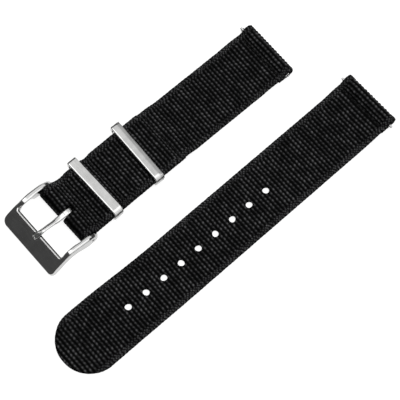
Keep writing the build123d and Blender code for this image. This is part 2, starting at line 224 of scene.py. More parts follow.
def steel(name, colour, rough, brush_axis=None, brush=0.0, wear=0.12, spread=0.25, cloud_scale=260.0):
    """Stainless steel. brush_axis is the direction of the brush marks (0 x, 1 y, 2 z) and brush their strength."""
    mat, nt, b = material(name)
    co = node(nt, "ShaderNodeTexCoord")
    b.inputs["Metallic"].default_value = 1.0
    cloud = node(nt, "ShaderNodeTexNoise", Scale=cloud_scale, Detail=4.0, Roughness=0.6)
    nt.links.new(co.outputs["Object"], cloud.inputs["Vector"])
    stretch = node(nt, "ShaderNodeMapping")
    s = [9000.0, 9000.0, 9000.0]
    if brush_axis is not None:
        s[brush_axis] = 260.0
    stretch.inputs["Scale"].default_value = s
    nt.links.new(co.outputs["Object"], stretch.inputs["Vector"])
    lines = node(nt, "ShaderNodeTexNoise", Scale=1.0, Detail=2.0, Roughness=0.7)
    nt.links.new(stretch.outputs["Vector"], lines.inputs["Vector"])
    mixf = node(nt, "ShaderNodeMath", operation="MULTIPLY_ADD")
    nt.links.new(lines.outputs["Fac"], mixf.inputs[0])
    mixf.inputs[1].default_value = 0.5 if brush_axis is not None else 0.15
    nt.links.new(cloud.outputs["Fac"], mixf.inputs[2])
    shade = ramp(nt, mixf.outputs["Value"], [(0.45, [c * (1 - wear) for c in colour]), (0.95, colour)])
    nt.links.new(shade.outputs["Color"], b.inputs["Base Color"])
    rr = node(nt, "ShaderNodeMapRange")
    rr.inputs["From Min"].default_value = 0.3
    rr.inputs["From Max"].default_value = 0.7
    rr.inputs["To Min"].default_value = rough * (1 - spread)
    rr.inputs["To Max"].default_value = rough * (1 + spread)
    nt.links.new(lines.outputs["Fac"], rr.inputs["Value"])
    nt.links.new(rr.outputs["Result"], b.inputs["Roughness"])
    if brush:
        bump = node(nt, "ShaderNodeBump", Strength=brush, Distance=0.00001)
        nt.links.new(lines.outputs["Fac"], bump.inputs["Height"])
        nt.links.new(bump.outputs["Normal"], b.inputs["Normal"])
    return mat


NYLON = nylon()
THREAD = thread_material()
BRUSHED = steel("brushed_steel_keepers", (0.53, 0.53, 0.525), 0.17, 1, 0.35, 0.30)
# keeper steel with painted shade along the rear of its top, used for the second keeper
KEEPER_PAINTED_SHADE = steel("brushed_steel_keeper_painted_shade", (0.53, 0.53, 0.525), 0.17, 1, 0.35, 0.30)
POLISHED = steel("polished_steel_buckle", (0.56, 0.56, 0.555), 0.14, 1, 0.04, 0.20)
TONGUE = steel("polished_steel_tongue", (0.56, 0.56, 0.555), 0.22, None, 0.05, 0.14)
TURNED = steel("turned_steel_bars", (0.60, 0.60, 0.60), 0.22, None, 0.1, 0.12)
SPRING = steel("spring_steel_wire", (0.45, 0.45, 0.46), 0.25, None, 0.1, 0.2)

# painted shade: the second keeper's top is darkened along its rear, standing in for the darker reflection its sloping
# rear gives
nt = KEEPER_PAINTED_SHADE.node_tree
b = next(n for n in nt.nodes if n.bl_idname == "ShaderNodeBsdfPrincipled")
co = node(nt, "ShaderNodeTexCoord")
shift = node(nt, "ShaderNodeVectorMath", operation="DOT_PRODUCT")
nt.links.new(co.outputs["Object"], shift.inputs[0])
shift.inputs[1].default_value = (1000.0, -47.0, 0.0)   # mm across the band, turned with it
blur = node(nt, "ShaderNodeTexNoise", Scale=900.0, Detail=3.0, Roughness=0.6)
nt.links.new(co.outputs["Object"], blur.inputs["Vector"])
edge = node(nt, "ShaderNodeMath", operation="MULTIPLY_ADD")
nt.links.new(blur.outputs["Fac"], edge.inputs[0])
edge.inputs[1].default_value = 0.5
nt.links.new(shift.outputs["Value"], edge.inputs[2])
# painted shade factor on the base colour: 1 at the front of the top, 0.62 towards its rear
painted_shade = node(nt, "ShaderNodeMapRange")
painted_shade.inputs["From Min"].default_value = -4.55
painted_shade.inputs["From Max"].default_value = -4.10
painted_shade.inputs["To Min"].default_value = 1.0
painted_shade.inputs["To Max"].default_value = 0.62
nt.links.new(edge.outputs["Value"], painted_shade.inputs["Value"])
old = b.inputs["Base Color"].links[0].from_socket
scale = node(nt, "ShaderNodeVectorMath", operation="SCALE")
nt.links.new(old, scale.inputs[0])
nt.links.new(painted_shade.outputs["Result"], scale.inputs["Scale"])
nt.links.new(scale.outputs["Vector"], b.inputs["Base Color"])

slot_of = {s["node"]: s["material_slot"] for s in frame["record"].get("subparts", []) if "material_slot" in s}
by_slot = {"webbing": NYLON, "thread": THREAD, "keeper_steel": BRUSHED, "buckle_steel": POLISHED, "bar_steel": TURNED, "spring_steel": SPRING}
for name, obj in frame["nodes"].items():
    kind = slot_of.get(name)
    mat = by_slot.get(kind, POLISHED)
    obj.data.materials.clear()
    obj.data.materials.append(mat)


# ------------------------------------------------------------------ the weave
def weave(s, w, side, seed):
    """Height of the cloth's surface above its middle, in mm, at s along and w across, and a painted light from 0 in the
    grooves (painted shade) to 1 on the crests (painted highlight).
    Raised ribs run across the strap; on each rib every other yarn comes up as a bead. side is 1 on the face and -1 on
    the back, where the other yarns come up."""
    aw = np.abs(w)
    table = np.random.default_rng(seed).uniform(-1, 1, (512, 256))
    rib = s / RIB + 0.05 * value_noise(s, w, seed + 51, 3.3)
    ir = np.round(rib).astype(int)
    ds = (rib - ir) * RIB
    jn = np.round(w / YARN).astype(int)
    ridge = np.exp(-((ds / 0.30) ** 2))
    h = 0.13 + 0.13 * ridge
    # painted highlight: a dim band along each rib, and below it a brighter one on each raised bead, with its strength
    # varied at random
    painted_crest_light = 0.20 * np.exp(-((ds / 0.23) ** 2))
    for dj in (-1, 0, 1):
        ji = jn + dj
        up = ((ir + ji) % 2 == 0) if side > 0 else ((ir + ji) % 2 == 1)
        k1 = table[ir % 512, (ji + 64) % 256]
        k2 = table[(ir * 7 + 13) % 512, (ji * 5 + 31) % 256]
        k3 = table[(ir * 3 + 101) % 512, (ji * 11 + 77) % 256]
        dw = w - ji * YARN - 0.07 * k2
        dx = ds - 0.06 * k3 + 0.18 * k1 * dw
        q = np.clip(1 - (dx / 0.41) ** 2 - (dw / 0.56) ** 2, 0, None)
        bead = 0.15 + 0.31 * (1 + 0.10 * k1) * np.sqrt(q)
        h = np.where(up & (q > 0), np.maximum(h, bead), h)
        painted_bead_highlight = np.exp(-((dx / 0.235) ** 2) - (dw / 0.40) ** 2) * (0.78 + 0.42 * k1)
        painted_crest_light = np.where(up, np.maximum(painted_crest_light, painted_bead_highlight), painted_crest_light)
    # selvage: tighter yarns of their own, out of step with the field
    sgn = np.sign(w)
    wander = value_noise(s, w * 0 + 5 * sgn, seed + 5, 0.8)
    sel = np.full(s.shape, 0.20)
    # painted highlight on the raised selvage yarns; spark varies its strength at random
    painted_selvage_light = np.full(s.shape, 0.03)
    for q_, off in enumerate((8.42, 8.86, 9.28, 9.66)):
        phase = rib * 1.1 + 0.5 * q_ + 0.25 * sgn + 0.35 * value_noise(s, s * 0 + q_ * 7.0 + sgn * 3, seed + 11, 1.9)
        up = side * np.cos(2 * math.pi * phase)
        d = (aw - off - 0.06 * wander) / 0.27
        qq = np.clip(1 - d * d, 0, None)
        sel = np.maximum(sel, np.where(qq > 0, 0.20 + 0.09 * up + 0.14 * np.sqrt(qq), -9.0))
        spark = 0.7 + 0.5 * value_noise(s * 1.7, s * 0 + q_ * 3.0 + sgn, seed + 17, 0.7)
        painted_selvage_light = np.maximum(painted_selvage_light, np.clip(up, 0, 1) ** 1.3 * np.exp(-1.3 * d * d) * spark)
    mix = smooth((aw - (8.02 + 0.10 * wander)) / 0.22)
    h = h * (1 - mix) + sel * mix
    painted_crest_light = painted_crest_light * (1 - mix) + painted_selvage_light * mix
    # an uneven furrow where the two meet, with painted shade in it
    furrow = np.exp(-(((aw - 8.10 - 0.12 * wander) / 0.14) ** 2)) * (0.65 + 0.6 * value_noise(s, w, seed + 21, 0.9))
    h = h - 0.07 * furrow
    painted_crest_light = painted_crest_light * (1 - 0.6 * np.clip(furrow, 0, 1))
    # slow unevenness of the whole cloth
    h = h + 0.012 * value_noise(s, w, seed + 31, 3.1)
    painted_crest_light = painted_crest_light * (0.86 + 0.32 * value_noise(s, w, seed + 41, 2.6))
    return h, np.clip(painted_crest_light, 0, 1)


class Path:
    """The middle of the webbing as a smooth line in X and Z, by length along it."""

    def __init__(self, points):
        p = np.array(points, float)
        d = np.r_[0, np.cumsum(np.linalg.norm(np.diff(p, axis=0), axis=1))]
        self.len = float(d[-1])
        self.fine = np.linspace(0, self.len, int(self.len / 0.02) + 1)
        x, z = np.interp(self.fine, d, p[:, 0]), np.interp(self.fine, d, p[:, 1])
        k = np.hanning(43)[1:-1]
        k /= k.sum()
        for _ in range(2):
            x = np.convolve(np.pad(x, 20, mode="reflect", reflect_type="odd"), k, "valid")
            z = np.convolve(np.pad(z, 20, mode="reflect", reflect_type="odd"), k, "valid")
        self.x, self.z = x, z
        tx, tz = np.gradient(x), np.gradient(z)
        n = np.hypot(tx, tz)
        self.tx, self.tz = tx / n, tz / n

    def at(self, s):
        return [np.interp(s, self.fine, a) for a in (self.x, self.z, self.tx, self.tz)]

    def where(self, x, last=True):
        """Length along the path at which it last, or first, passes x."""
        idx = np.where(np.diff(np.sign(self.x - x)) != 0)[0]
        return float(self.fine[idx[-1] if last else idx[0]])


def run(u0, z0, u1, z1, n=24):
    t = np.linspace(0, 1, n)
    return [(u0 + (u1 - u0) * a, z0 + (z1 - z0) * float(smooth(a))) for a in t]


def arc(cx, cz, r, a0, a1, n=40):
    return [(cx + r * math.cos(a), cz + r * math.sin(a)) for a in np.radians(np.linspace(a0, a1, n))]


def lug_up(end):
    """From the end of the turned-in flap round the loop to the flat strap, as x and z, for a strap whose loop ends at x = end."""
    pts = [(6.05, T), (3.5, T)]
    pts += [(1.85 - 1.35 * math.sin(a), 1.85 - 1.35 * math.cos(a)) for a in np.linspace(0.0, math.pi, 40)]
    pts += run(2.65, 3.2, 5.05, 1.5, 30)
    pts += [(5.7, 1.5)]
    pts += run(6.2, 1.5, 13.4, T, 30)
    return [(end - u, z) for u, z in pts]


LONG = Path(lug_up(LONG_END) + [(LONG_END - u, T) for u in np.linspace(14, LONG_LEN, 60)])

short_pts = [(L(5.65), T), (L(-34.1), T)]
short_pts += arc(L(-34.1), 2.0, 1.5, 270, 90)[1:]
short_pts += run(L(-32.2), 3.5, L(-28.1), 1.5, 30)
short_pts += run(L(-26.9), 1.5, L(-25.5), 2.3, 12) + [(L(-22.5), 2.3)]
short_pts += run(L(-19.6), 2.3, L(-18.4), 1.5, 12)
short_pts += run(L(-17.5), 1.5, L(-16.1), 2.3, 12) + [(L(-8.0), 2.3)]
short_pts += run(L(2.1), 2.3, L(3.5), 1.5, 12)
short_pts += run(L(5.7), 1.5, L(11.2), T, 24)
short_pts += [(L(14), T), (L(24), T), (SHORT_END - 13.6, T)]
short_pts += list(reversed(lug_up(SHORT_END)))[1:]
SHORT = Path(short_pts)


def short_plan(x, w):
    """The buckle strap lies in a very slight curve, its lug end leaning towards the long strap."""
    x = np.asarray(x, float)
    d = np.clip(x + 10.0, 0, None)
    lean = 0.014 * (d * d + 20 * d) / (d + 10) ** 2 + 0.012 * smooth((x - 30) / 18)
    # the corners of the fold are drawn in a little
    tuck = 0.22 * smooth((-34.2 - x) / 0.8) * smooth((np.abs(w) - 9.1) / 0.9)
    bend = 0.35 * smooth((x - 38.5) / 9.0)   # the lug end turns down a little more
    return x + w * lean + 0.9 * tuck * (x < -30), w * (1 + 0.013 * smooth((-21.0 - x) / 3.0)) - 0.014 * d * d / (d + 10) - bend - np.sign(w) * tuck * 0.6


def long_plan(x, w):
    """The tip end of the long strap leans a little towards the buckle strap and lies a little askew."""
    x = np.asarray(x, float)
    t = smooth((-20.0 - x) / 30.0)
    return x, w + t * (0.5 + 0.030 * w * smooth((x + 62.5) / 8.0))


class Strip:
    """A length of webbing along a path. face is 1 where the outer face lies on the left of the path's direction, seen from -Y, and -1 on the right."""

    def __init__(self, path, y, seed, face, plan=None):
        self.path, self.y, self.seed, self.face, self.plan = path, y, seed, face, plan
        self.rows = int(round(path.len / DS)) + 1
        self.s = np.linspace(0, path.len, self.rows)
        self.w = np.linspace(-HALF_W, HALF_W, NW + 1)
        self.holes, self.slots, self.seams, self.pressed = [], [], [], []
        self.tip = None

    def row(self, s):
        """The row nearest to s."""
        return int(np.argmin(np.abs(self.s - s)))

    def groove(self, s):
        """The row in the groove between two ribs nearest to s."""
        return self.row((round(s / RIB - 0.5) + 0.5) * RIB)

    def build(self):
        S, W = np.meshgrid(self.s, self.w, indexing="ij")
        Sr, Wr = S.copy(), W.copy()
        gap = HALF_W - np.abs(W)
        sealed = np.zeros(S.shape)
        if self.tip is not None:
            # rows past the disc's centre close up, so that the edge follows the circle
            r = self.path.len - self.tip
            ang = np.clip((S - self.tip) / r, 0, 1) * math.pi / 2
            past = S > self.tip
            Wr = np.where(past, W / HALF_W * r * np.cos(ang * 0.985), W)
            Sr = np.where(past, self.tip + r * np.sin(ang), S)
            gap = np.where(past, np.clip(r - np.hypot(Sr - self.tip, Wr), 0, None), gap)
            gap[:, 0] = gap[:, -1] = 0
            sealed = smooth((Sr - self.tip + 0.4) / 1.2) * (1 - smooth((gap - 0.15) / 0.45))
        keep = np.ones((self.rows - 1, NW), bool)
        sc, wc = (Sr[:-1, :-1] + Sr[1:, 1:]) / 2, (Wr[:-1, :-1] + Wr[1:, 1:]) / 2
        near = np.full(S.shape, 9.0)
        for i, (hs, hr) in enumerate(self.holes):
            g = np.random.default_rng(100 + i)
            p1, p2 = g.uniform(0, 6.28, 2)
            rad = lambda a: hr * (1 + 0.045 * np.cos(2 * a + p1) + 0.03 * np.cos(3 * a + p2))
            keep &= ~(np.hypot(sc - hs, wc) < rad(np.arctan2(wc, sc - hs)))
            used = np.zeros(S.shape, bool)
            rim = np.zeros(S.shape, bool)
            for a_, b_ in ((0, 0), (1, 0), (0, 1), (1, 1)):
                v = (slice(a_, a_ + keep.shape[0]), slice(b_, b_ + keep.shape[1]))
                used[v] |= keep
                rim[v] |= ~keep
            d, a = np.hypot(Sr - hs, Wr), np.arctan2(Wr, Sr - hs)
            rr = rad(a)
            rim &= used & (d < hr * 1.4)
            push = (~rim) & used & (d < rr + 0.07)
            target = np.where(rim, rr, np.where(push, rr + 0.07, d))
            Sr, Wr = hs + target * np.cos(a), target * np.sin(a)
            near = np.minimum(near, np.abs(np.hypot(Sr - hs, Wr) - rr))
        for s0, s1, hw, w0 in self.slots:
            keep &= ~((sc > s0) & (sc < s1) & (np.abs(wc - w0) < hw))
            near = np.minimum(near, np.hypot(np.maximum(np.maximum(s0 - Sr, Sr - s1), 0), np.maximum(np.abs(Wr - w0) - hw, 0)))
        cut = Sr if self.tip is not None else np.minimum(Sr, self.path.len - Sr)
        melt = np.maximum.reduce([1 - smooth(near / 0.42), 1 - smooth(cut / 0.5), sealed])
        px, pz, tx, tz = self.path.at(Sr)
        nx, nz = self.face * tz, -self.face * tx
        # the long edges are a little scalloped, one scallop to a rib
        scallop = 0.055 * (0.5 - 0.5 * np.cos(2 * math.pi * Sr / RIB)) + 0.035 * value_noise(Sr, Sr * 0 + np.sign(W), self.seed + 3, 1.1) - 0.13
        wy = Wr - np.sign(W) * scallop * smooth((np.abs(W) - 8.6) / 1.4)
        rnd = lambda g, r: np.sqrt(np.clip(1 - (1 - np.clip(g / r, 0, 1)) ** 2, 0, 1))
        shape = rnd(gap, 0.55) * (0.35 + 0.65 * rnd(cut, 0.45)) * (0.6 + 0.4 * rnd(near, 0.3))
        self.out = {}
        for side in (1, -1):
            h, painted_crest_light = weave(Sr, Wr, side, self.seed)
            flat = 0.36 + 0.05 * np.exp(-(((near - 0.2) / 0.14) ** 2))
            h = h * (1 - melt) + flat * melt
            for q, wide, dark in self.seams:
                # cloth pulled down along a sewn line, with its weave crushed; the painted crest highlight is taken down
                # there too, which paints shade along the line
                g = np.exp(-(((Sr - q - 0.12 * value_noise(Wr, Wr * 0, self.seed + 61, 1.3)) / wide) ** 2)) * smooth((8.5 - np.abs(Wr)) / 0.5)
                h = h * (1 - 0.45 * g) + (0.12 + 0.05 * value_noise(Sr * 2, Wr, self.seed + 71, 0.45)) * g
                painted_crest_light = painted_crest_light * (1 - dark * g)
            for s0, s1, amount, dark in self.pressed:
                # cloth drawn tight round a bend: its beads lie flat, and the painted crest highlight is taken down with
                # them
                g = smooth((Sr - s0 + 0.6) / 1.2) * smooth((s1 + 0.6 - Sr) / 1.2)
                h = h * (1 - amount * g) + 0.36 * amount * g
                painted_crest_light = painted_crest_light * (1 - dark * g)
            h = h * shape
            h[:, 0] = h[:, -1] = 0.0
            x, y = px + nx * h * side, wy
            if self.plan is not None:
                x, y = self.plan(x, y)
            # melted rims and cut ends carry less of the painted crest highlight
            self.out[side] = (x, y + self.y, pz + nz * h * side, painted_crest_light * (1 - 0.6 * melt))
        self.S, self.W, self.keep, self.melt = Sr, Wr, keep, melt

    def piece(self, name, r0, r1):
        """Rows r0 to r1 as one closed shell."""
        rows = r1 - r0 + 1
        n = rows * (NW + 1)
        idx = np.arange(n).reshape(rows, NW + 1)
        V, A = [], []
        for side in (1, -1):
            X, Y, Z, painted_crest_light = (a[r0 : r1 + 1] for a in self.out[side])
            V.append(np.stack([X, Y, Z], -1).reshape(-1, 3))
            A.append(painted_crest_light.ravel())
        V, A = np.concatenate(V) * MM, np.concatenate(A)
        M = np.tile(self.melt[r0 : r1 + 1].ravel(), 2)
        UV = np.tile(np.stack([self.S[r0 : r1 + 1], self.W[r0 : r1 + 1]], -1).reshape(-1, 2), (2, 1))
        # the two long edges are shared by both faces
        merge = np.arange(2 * n)
        merge[idx[:, 0] + n] = idx[:, 0]
        merge[idx[:, -1] + n] = idx[:, -1]
        keep = self.keep[r0:r1]
        i, j = np.nonzero(keep)
        a, b, c, d = idx[i, j], idx[i + 1, j], idx[i + 1, j + 1], idx[i, j + 1]
        flip = self.face > 0
        quads = [np.stack([a, d, c, b] if flip else [a, b, c, d], -1), np.stack([a, b, c, d] if flip else [a, d, c, b], -1) + n]
        pad = np.zeros((keep.shape[0] + 2, keep.shape[1] + 2), bool)
        pad[1:-1, 1:-1] = keep
        sharp = []
        for di, dj, e0, e1 in ((-1, 0, (0, 0), (0, 1)), (1, 0, (1, 1), (1, 0)), (0, -1, (1, 0), (0, 0)), (0, 1, (0, 1), (1, 1))):
            nb = pad[1 + di : 1 + di + keep.shape[0], 1 + dj : 1 + dj + keep.shape[1]]
            ii, jj = np.nonzero(keep & ~nb)
            closed = ((jj == 0) & (dj == -1)) | ((jj == NW - 1) & (dj == 1))
            ii, jj = ii[~closed], jj[~closed]
            p, q = idx[ii + e0[0], jj + e0[1]], idx[ii + e1[0], jj + e1[1]]
            quads.append(np.stack([q, p, p + n, q + n] if flip else [p, q, q + n, p + n], -1))
            # a cut inside the cloth is a hard edge, and a melted rim is soft
            inner = (di == -1) & (ii == 0) & (r0 > 0) | (di == 1) & (ii == keep.shape[0] - 1) & (r1 < self.rows - 1)
            for o in (0, n):
                sharp.append(np.stack([merge[p[inner] + o], merge[q[inner] + o]], -1))
        quads = merge[np.concatenate(quads)]
        quads[:, :] = quads
        tris = []
        twin = np.stack([quads[:, k] == quads[:, (k + 1) % 4] for k in range(4)], -1)
        for k in range(4):
            t = quads[twin[:, k]]
            tris.append(np.stack([t[:, (k + 1) % 4], t[:, (k + 2) % 4], t[:, (k + 3) % 4]], -1))
        quads, tris = quads[~twin.any(1)], np.concatenate(tris)
        used = np.unique(np.r_[quads.ravel(), tris.ravel()])
        renum = np.full(2 * n, -1)
        renum[used] = np.arange(len(used))
        # the painted crest light (highlight on crests, shade in grooves) goes on the mesh as a point attribute
        obj = mesh_object(name, V[used], renum[quads], renum[tris], UV[used], {"painted_crest_light": A[used], "melt": M[used]}, renum[np.concatenate(sharp)])
        obj.data.materials.append(NYLON)
        return obj


long_strip = Strip(LONG, LONG_Y, 3, 1, long_plan)
first_hole = LONG.where(LONG_END - 45.36)
long_strip.holes = [(first_hole + 6.863 * k, 1.0) for k in range(9)]
long_strip.tip = LONG.len - HALF_W
long_strip.seams = [(LONG.where(LONG_END - 5.3), 0.75, 0.85), (LONG.where(LONG_END - 5.3, False), 0.4, 0.5)]
long_strip.build()

short_strip = Strip(SHORT, SHORT_Y, 23, -1, short_plan)
sx = SHORT.where
bend = np.where(SHORT.x < L(-34.0))[0]
short_strip.pressed = [(float(SHORT.fine[bend[0]]), float(SHORT.fine[bend[-1]]) + 0.1, 0.72, 0.75)]
short_strip.slots = [(sx(L(-31.75), False), sx(L(-31.05)), 1.15, -0.16)]
short_strip.seams = [(sx(L(v)), 0.35, 0.35) for v in (-27.5, -17.95, 4.2)] + [(sx(L(v), False), 0.35, 0.4) for v in (-27.5, -17.95, 4.2)]
lug_seam = SHORT_END - 5.3
cross = np.where(np.diff(np.sign(SHORT.x - lug_seam)) != 0)[0]
short_strip.seams += [(float(SHORT.fine[k]), 0.75, 0.85) for k in cross]
short_strip.build()


def clear_bars(obj):
    """Press the cloth clear of the bars that run through its loops."""
    v = np.zeros(len(obj.data.vertices) * 3, np.float32)
    obj.data.vertices.foreach_get("co", v)
    v = v.reshape(-1, 3).astype(float)
    for x, y, z, r in ((LONG_END - 3.0, LONG_Y, 1.85, 0.79), (SHORT_END - 3.0, SHORT_Y - 0.65, 1.85, 0.79), (-32.2, SHORT_Y, 2.0, 1.0)):
        dx, dz = v[:, 0] - x * MM, v[:, 2] - z * MM
        d = np.hypot(dx, dz)
        near = (d < r * MM) & (np.abs(v[:, 1] - y * MM) < 10.6 * MM)
        if near.any():
            k = r * MM / np.maximum(d[near], 1e-6)
            v[near, 0], v[near, 2] = x * MM + dx[near] * k, z * MM + dz[near] * k
    obj.data.vertices.foreach_set("co", v.astype(np.float32).ravel())
    obj.data.update()


# ------------------------------------------------------------------ the long strap
cuts = [0] + [long_strip.groove(LONG.where(LONG_END - u)) for u in (24, 40.4, 62.5, 83.1, 96.83)] + [long_strip.rows - 1]
stands = [["long_webbing_1_lug_loop"], ["long_webbing_2"], ["long_webbing_3"], ["long_webbing_4"], ["long_webbing_5"], ["long_webbing_6", "long_webbing_7_tip"]]
labels = ["lug_end", "part_2", "part_3", "part_4", "part_5", "tip_end"]
for k in range(6):
    obj = long_strip.piece("long_strap_weave_" + labels[k], cuts[k], cuts[k + 1])
    clear_bars(obj)
    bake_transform(obj)
    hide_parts(*stands[k])

# ------------------------------------------------------------------ the buckle strap
g = short_strip.groove
marks = [0, g(sx(L(-24.0), False)), g(sx(L(-9.0))), g(sx(L(18))), g(sx(L(30))), short_strip.rows - 1]
under = short_strip.piece("buckle_strap_weave_flap", marks[0], marks[1])
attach(under, "buckle_strap")
fold = short_strip.piece("buckle_strap_weave_fold", marks[1], marks[2])
clear_bars(fold)
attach(fold, "buckle_strap")
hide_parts("short_webbing_4_buckle_fold")
for name, m0, m1, a, b, at, old in (
    ("buckle_strap_weave_part_3", 2, 3, "buckle_strap", "short_span_3", 12, "short_webbing_3"),
    ("buckle_strap_weave_part_2", 3, 4, "short_span_3", "short_span_2", 24, "short_webbing_2"),
    ("buckle_strap_weave_lug_end", 4, 5, "short_span_2", "short_lug_end", 36, "short_webbing_1_lug_loop"),
):
    obj = short_strip.piece(name, marks[m0], marks[m1])
    clear_bars(obj)
    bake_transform(obj)
    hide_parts(old)


# ------------------------------------------------------------------ seams
def stitches(name, x0, y0, z_top, z_low, seed, body, old, plan=None):
    """One sewn line across a strap: short runs of two-ply thread on the top, and on the underside between them."""
    rng = np.random.default_rng(seed)
    verts, quads, uvs = [], [], []
    rings, sides = 22, 12
    first = -8.05
    for k in range(8):
        for top in (1, 0):
            yc = first + 2.05 * k + 0.78 + (0 if top else 1.025)
            if not top and k == 7:
                continue
            length = rng.uniform(1.5, 1.75)
            lean = rng.uniform(-0.20, 0.20)
            dx = rng.uniform(-0.10, 0.10)
            t = np.linspace(0, 1, rings)
            y = yc + (t - 0.5) * length
            x = x0 + dx + (t - 0.5) * lean + 0.05 * np.sin(t * 9 + k)
            rise = np.sin(math.pi * np.clip(t, 0, 1)) ** 0.45
            if top:
                z = z_top - 0.62 + 0.62 * rise + rng.uniform(-0.03, 0.03)
            else:
                z = z_low + 0.42 - 0.42 * rise
            cen = np.stack([x, y, z], -1)
            tan = np.gradient(cen, axis=0)
            tan /= np.linalg.norm(tan, axis=1)[:, None]
            e1 = np.tile([1.0, 0, 0], (rings, 1))
            e1 -= (e1 * tan).sum(1)[:, None] * tan
            e1 /= np.linalg.norm(e1, axis=1)[:, None]
            e2 = np.cross(tan, e1)
            base = sum(len(v) for v in verts)
            ph = np.linspace(0, 2 * math.pi, sides, endpoint=False)
            r0 = 0.20 if top else 0.16
            for i in range(rings):
                ply = r0 * (0.74 + 0.30 * np.abs(np.cos(ph - math.pi * 2.4 * t[i] + k)))
                close = min(1.0, 0.25 + 3.2 * min(t[i], 1 - t[i]))
                verts.append(cen[i] + (np.cos(ph)[:, None] * e1[i] + np.sin(ph)[:, None] * e2[i]) * (ply * close)[:, None])
                uvs.append(np.stack([np.full(sides, y[i]), ph * 0.2 + 3.0 * k], -1))
            for i in range(rings - 1):
                for j in range(sides):
                    a, b = base + i * sides + j, base + i * sides + (j + 1) % sides
                    quads.append((a, b, b + sides, a + sides))
            for end in (0, rings - 1):
                ring = [base + end * sides + j for j in range(sides)]
                if end == 0:
                    ring = ring[::-1]
                for j in range(1, sides - 1, 2):
                    quads.append((ring[0], ring[j], ring[j + 1], ring[(j + 2) % sides]) if j + 2 < sides else (ring[0], ring[j], ring[j + 1], ring[j + 1]))
    verts, uvs = np.concatenate(verts), np.concatenate(uvs)
    if plan is not None:
        verts[:, 0], verts[:, 1] = plan(verts[:, 0], verts[:, 1])
    verts[:, 1] += y0
    quads = np.array(quads)
    bad = quads[:, 2] == quads[:, 3]
    obj = mesh_object(name, verts * MM, quads[~bad], quads[bad][:, :3], uvs)
    obj.data.materials.append(THREAD)
    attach(obj, body)
    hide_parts(old)
    return obj


stitches("long_lug_stitches", LONG_END - 5.3, LONG_Y, 1.93, 0.22, 201, "long_lug_end", "long_lug_seam_thread")
stitches("short_lug_stitches", SHORT_END - 5.3, SHORT_Y, 1.93, 0.22, 202, "short_lug_end", "short_lug_seam_thread", short_plan)
stitches("buckle_stitches", L(-27.5), SHORT_Y, 1.93, 0.22, 203, "buckle_strap", "buckle_seam_thread", short_plan)
stitches("keeper_stitches_1", L(-17.95), SHORT_Y, 1.93, 0.22, 204, "buckle_strap", "keeper_seam_thread_1", short_plan)
stitches("keeper_stitches_2", L(4.2), SHORT_Y, 1.93, 0.22, 205, "buckle_strap", "keeper_seam_thread_2", short_plan)

# ------------------------------------------------------------------ steel pieces
def hermite(xs, zs, slopes):
    """A smooth curve through points with given slopes."""
    xs, zs, m = np.array(xs, float), np.array(zs, float), np.array(slopes, float)

    def f(x):
        x = np.clip(x, xs[0], xs[-1])
        k = np.clip(np.searchsorted(xs, x) - 1, 0, len(xs) - 2)
        h = xs[k + 1] - xs[k]
        t = (x - xs[k]) / h
        return (1 + 2 * t) * (1 - t) ** 2 * zs[k] + t * (1 - t) ** 2 * h * m[k] + t * t * (3 - 2 * t) * zs[k + 1] + t * t * (t - 1) * h * m[k + 1]

    return f


def smoothed(xs, zs):
    """The same with slopes taken from the neighbours."""
    return hermite(xs, zs, np.gradient(np.array(zs, float), np.array(xs, float)))


def cut_with(obj, cutters):
    """Take other closed meshes away from obj, and drop them."""
    for c in cutters:
        mod = obj.modifiers.new("cut", "BOOLEAN")
        mod.operation, mod.solver, mod.object = "DIFFERENCE", "EXACT", c
    dg = bpy.context.evaluated_depsgraph_get()
    dg.update()
    mesh = bpy.data.meshes.new_from_object(obj.evaluated_get(dg))
    obj.modifiers.clear()
    obj.data = mesh
    for c in cutters:
        bpy.data.objects.remove(c, do_unlink=True)


def prism_mesh(name, outline, low, high, axis=2):
    """A closed prism over a convex outline; axis 2 stands it along z, axis 1 along y."""
    o = np.array(outline, float)
    n = len(o)
    lo, hi = np.full((n, 1), float(low)), np.full((n, 1), float(high))
    if axis == 2:
        v = np.r_[np.c_[o, lo], np.c_[o, hi]]
    else:
        v = np.r_[np.c_[o[:, :1], lo, o[:, 1:]], np.c_[o[:, :1], hi, o[:, 1:]]]
    v = np.r_[v, v[:n].mean(0)[None], v[n:].mean(0)[None]]
    q = [(k, (k + 1) % n, n + (k + 1) % n, n + k) for k in range(n)]
    t = [((k + 1) % n, k, 2 * n) for k in range(n)] + [(n + k, n + (k + 1) % n, 2 * n + 1) for k in range(n)]
    if axis == 1:
        q, t = [f[::-1] for f in q], [f[::-1] for f in t]
    return mesh_object(name, v * MM, q, t)


# buckle frame: a section carried from the end of one arm round the front bar to the end of the other
AX, AZ = -32.2, 2.0
FX, CX, BX = -48.6, -41.2, -42.80
SLOPE, LEAN, HALF_WIN = 2.53 / 7.4, math.tan(math.radians(12.0)), 10.17
END_X = AX + 2.5
YAW, REAR_Y = math.radians(-0.6), 16.25


def askew(v, yaw=YAW, y=REAR_Y):
    """Turn points a little about the bar's middle, and set them beside it."""
    dx = v[:, 0] - AX
    return np.c_[AX + dx * math.cos(yaw) - v[:, 1] * math.sin(yaw), y + dx * math.sin(yaw) + v[:, 1] * math.cos(yaw), v[:, 2]]
crown = hermite([CX, CX + 0.9, AX - 5.6, AX - 2.8, AX], [4.03, 4.285, 4.43, 4.34, 4.05], [SLOPE, 0.20, 0.0, -0.06, -0.06])
belly = smoothed([FX, FX + 0.25, FX + 0.6, FX + 3.4, FX + 6.1, FX + 8.1, FX + 10.3, FX + 12.3, FX + 14.3, AX], [0.55, 0.25, 0.12, 0.5, 1.5, 1.85, 1.75, 1.05, 0.25, 0.03])


